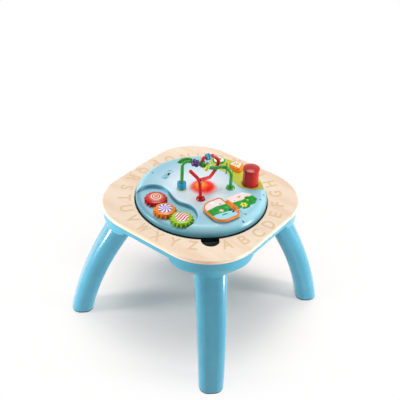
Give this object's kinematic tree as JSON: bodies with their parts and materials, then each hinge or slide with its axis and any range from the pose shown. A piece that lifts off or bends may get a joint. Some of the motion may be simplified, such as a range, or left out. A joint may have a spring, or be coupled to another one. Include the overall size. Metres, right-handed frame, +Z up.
{
  "type": "activity table",
  "caption": "Toddler activity table: light wood ring on a blue moulded frame with splayed legs, and a round lift-out panel with gears, bead maze, flip book, barrel, buttons and light.",
  "frame": {"origin": "on the floor under the middle of the table top", "axes": "+Z up, +X and +Y square to the table's sides, with the finger notch towards +X and -Y"},
  "size_m": [0.4652, 0.4652, 0.4364],
  "materials": {
    "light_wood": "satin",
    "blue_plastic": "satin",
    "dark_rubber": "matte",
    "pale_blue_plastic": "satin",
    "orange_plastic": "gloss",
    "red_plastic": "gloss",
    "green_plastic": "gloss",
    "lime_plastic": "gloss",
    "white_plastic": "gloss",
    "clear_lens": "gloss",
    "blue_bead_plastic": "gloss",
    "purple_plastic": "gloss",
    "board_green": "satin",
    "black_plastic": "matte",
    "cell_wrap": "gloss",
    "steel": "brushed"
  },
  "bodies": {
    "table": {"apron_frame": "blue_plastic", "foot_pad_front": "dark_rubber", "foot_pad_left": "dark_rubber", "foot_pad_rear": "dark_rubber", "foot_pad_right": "dark_rubber", "leg_front": "blue_plastic", "leg_left": "blue_plastic", "leg_rear": "blue_plastic", "leg_right": "blue_plastic", "leg_screws": "steel", "leg_washers": "steel", "table_top": "light_wood", "top_screws": "steel"},
    "panel": {"barrel_screw": "steel", "battery_cells": "cell_wrap", "battery_contacts": "steel", "battery_door": "pale_blue_plastic", "board_screws": "steel", "book_hinge_bracket": "orange_plastic", "book_hinge_pin": "steel", "book_print_left": "white_plastic", "book_print_right": "white_plastic", "circuit_board": "board_green", "dot_button_ring": "green_plastic", "gear_screws": "steel", "green_track": "green_plastic", "key_switches": "black_plastic", "leaf_tray": "lime_plastic", "light_lamp": "clear_lens", "light_lens": "clear_lens", "panel_base_shell": "pale_blue_plastic", "panel_top_shell": "pale_blue_plastic", "red_track": "red_plastic", "shell_screws": "steel", "sound_chip": "black_plastic", "speaker": "black_plastic", "switch_housing": "black_plastic", "track_screws": "steel"},
    "gear_orange": {"gear_orange": "orange_plastic", "gear_cap_orange": "orange_plastic"},
    "gear_red": {"gear_red": "red_plastic", "gear_cap_red": "red_plastic"},
    "gear_green": {"gear_green": "green_plastic", "gear_cap_green": "green_plastic"},
    "book_page": {"page_frame": "orange_plastic", "page_insert": "white_plastic"},
    "barrel": {"turn_barrel": "red_plastic", "barrel_cap": "red_plastic"},
    "wedge_button": {"wedge_button": "orange_plastic", "wedge_button_face": "white_plastic"},
    "dot_button": {"dot_button": "white_plastic"},
    "ring_bead": {"ring_bead": "blue_bead_plastic"},
    "plum_bead": {"plum_bead": "purple_plastic"},
    "lime_bead": {"lime_bead": "lime_plastic"},
    "blue_bead": {"blue_bead": "blue_bead_plastic"},
    "power_slider": {"power_slider": "white_plastic"}
  },
  "joints": [
    {"name": "panel_lift", "type": "slide", "parent": "table", "child": "panel", "axis": [0, 0, 1], "range_m": [0, 0.08]},
    {"name": "gear_orange_turn", "type": "hinge", "parent": "panel", "child": "gear_orange", "pos_m": [-0.01408, -0.11506, 0.335], "axis": [0, 0, 1], "continuous": true},
    {"name": "gear_red_turn", "type": "hinge", "parent": "panel", "child": "gear_red", "pos_m": [-0.05775, -0.09515, 0.335], "axis": [0, 0, 1], "continuous": true},
    {"name": "gear_green_turn", "type": "hinge", "parent": "panel", "child": "gear_green", "pos_m": [0.03392, -0.11455, 0.335], "axis": [0, 0, 1], "continuous": true},
    {"name": "page_flip", "type": "hinge", "parent": "panel", "child": "book_page", "pos_m": [0.097, -0.013, 0.3525], "axis": [-0.9613, 0.2756, 0], "range_deg": [0, 180]},
    {"name": "barrel_turn", "type": "hinge", "parent": "panel", "child": "barrel", "pos_m": [0.07206, 0.09302, 0.344], "axis": [0, 0, 1], "continuous": true},
    {"name": "wedge_press", "type": "slide", "parent": "panel", "child": "wedge_button", "axis": [0, 0, -1], "range_m": [0, 0.0025], "stiffness_N_per_m": 500, "springref_m": -0.001},
    {"name": "dot_press", "type": "slide", "parent": "panel", "child": "dot_button", "axis": [0, 0, -1], "range_m": [0, 0.0025], "stiffness_N_per_m": 500, "springref_m": -0.001},
    {"name": "ring_slide", "type": "slide", "parent": "panel", "child": "ring_bead", "axis": [0, 0, 1], "range_m": [0, 0.04]},
    {"name": "plum_turn", "type": "hinge", "parent": "panel", "child": "plum_bead", "pos_m": [-0.01533, -0.00839, 0.41501], "axis": [0.7019, 0.6213, -0.3482], "continuous": true},
    {"name": "lime_turn", "type": "hinge", "parent": "panel", "child": "lime_bead", "pos_m": [0.00436, 0.00904, 0.40524], "axis": [0.7019, 0.6213, -0.3482], "continuous": true},
    {"name": "blue_turn", "type": "hinge", "parent": "panel", "child": "blue_bead", "pos_m": [0.00213, 0.01439, 0.4284], "axis": [-0.4123, -0.9111, 0], "continuous": true},
    {"name": "power_slide", "type": "slide", "parent": "panel", "child": "power_slider", "axis": [-0.2079, 0.9781, 0], "range_m": [0, 0.014]}
  ],
  "couplings": [
    {"joint": "gear_red_turn", "follows": "gear_orange_turn", "ratio": -1},
    {"joint": "gear_green_turn", "follows": "gear_orange_turn", "ratio": -1}
  ]
}
